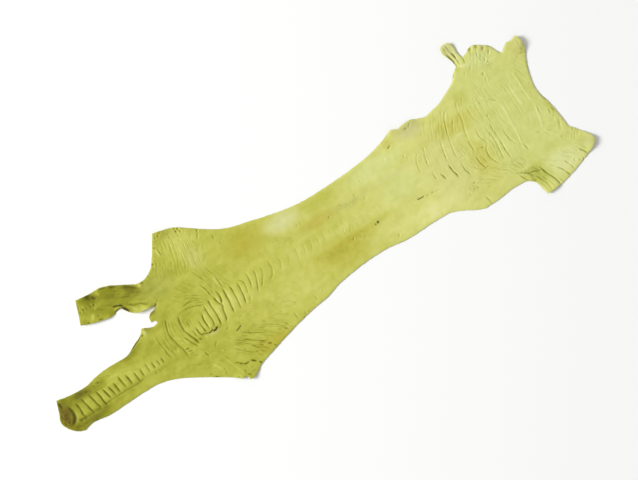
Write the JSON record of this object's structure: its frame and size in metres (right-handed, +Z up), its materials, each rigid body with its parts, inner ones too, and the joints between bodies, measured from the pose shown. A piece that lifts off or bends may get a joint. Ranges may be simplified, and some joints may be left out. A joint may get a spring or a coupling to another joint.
{
  "type": "ostrich leg leather skin",
  "caption": "Tanned and dyed skin of an ostrich's lower leg, opened out and laid flat, with toes, shank and hock.",
  "frame": {"origin": "middle of the skin's bounding box, on the surface that it lies on", "axes": "+X along the leg from the toes to the hock, +Z up out of the grain side"},
  "size_m": [0.7, 0.2108, 0.008],
  "materials": {
    "skin": "yellow-green dyed leather with a soft semi-matt grain side"
  },
  "bodies": {
    "root": {"skin": "skin"}
  },
  "joints": []
}
